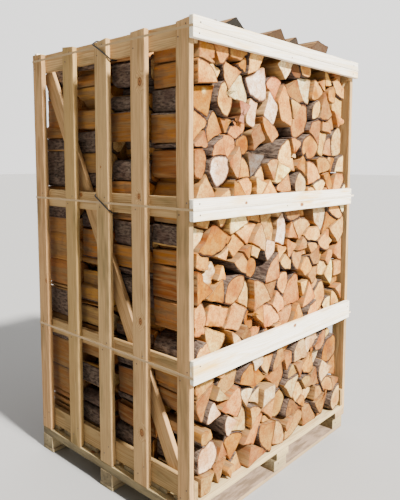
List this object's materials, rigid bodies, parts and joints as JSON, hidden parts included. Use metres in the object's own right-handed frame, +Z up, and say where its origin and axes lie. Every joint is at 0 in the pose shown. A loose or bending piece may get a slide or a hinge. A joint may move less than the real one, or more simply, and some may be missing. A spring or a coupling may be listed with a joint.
{
  "type": "firewood crate",
  "caption": "Tall slatted softwood crate on a block pallet, filled with rows of split firewood whose ends show between boards at the front, with strapping bands and lashings",
  "frame": {"origin": "centre of the bounding box's underside, on the surface that the pallet stands on", "axes": "+Z up; -Y is the front, where the log ends show between three boards; -X is the left side"},
  "size_m": [1.2587, 1.1144, 2.066],
  "materials": {
    "crate_timber": "sawn softwood, planks with knots",
    "board_timber": "pale fresh sawn softwood",
    "pallet_timber": "rough sawn softwood, a little dirty",
    "split_logs": "split hardwood with sawn ends and bark",
    "strapping": "thin clear tan strapping band",
    "lashing": "black plastic line"
  },
  "bodies": {
    "root": {"back_board_lower": "board_timber", "back_board_top": "board_timber", "back_board_upper": "board_timber", "block_back_left": "pallet_timber", "block_back_middle": "pallet_timber", "block_back_right": "pallet_timber", "block_front_left": "pallet_timber", "block_front_middle": "pallet_timber", "block_front_right": "pallet_timber", "block_middle_left": "pallet_timber", "block_middle_middle": "pallet_timber", "block_middle_right": "pallet_timber", "deck_board_1": "pallet_timber", "deck_board_2": "pallet_timber", "deck_board_3": "pallet_timber", "deck_board_4": "pallet_timber", "deck_board_5": "pallet_timber", "deck_board_6": "pallet_timber", "deck_board_7": "pallet_timber", "front_board_lower": "board_timber", "front_board_top": "board_timber", "front_board_upper": "board_timber", "left_brace": "crate_timber", "left_rail_bottom": "crate_timber", "left_rail_lower": "crate_timber", "left_rail_top": "crate_timber", "left_rail_upper": "crate_timber", "left_slat_1": "crate_timber", "left_slat_2": "crate_timber", "left_slat_3": "crate_timber", "left_slat_4": "crate_timber", "left_slat_5": "crate_timber", "log_row_1": "split_logs", "log_row_2": "split_logs", "log_row_3": "split_logs", "log_row_4": "split_logs", "right_brace": "crate_timber", "right_rail_bottom": "crate_timber", "right_rail_lower": "crate_timber", "right_rail_top": "crate_timber", "right_rail_upper": "crate_timber", "right_slat_1": "crate_timber", "right_slat_2": "crate_timber", "right_slat_3": "crate_timber", "right_slat_4": "crate_timber", "right_slat_5": "crate_timber", "skid_back": "pallet_timber", "skid_front": "pallet_timber", "skid_middle": "pallet_timber", "strap_lower": "strapping", "strap_top": "strapping", "strap_upper": "strapping", "stringer_left": "pallet_timber", "stringer_middle": "pallet_timber", "stringer_right": "pallet_timber", "tie_top": "lashing", "tie_upper": "lashing"}
  },
  "joints": []
}
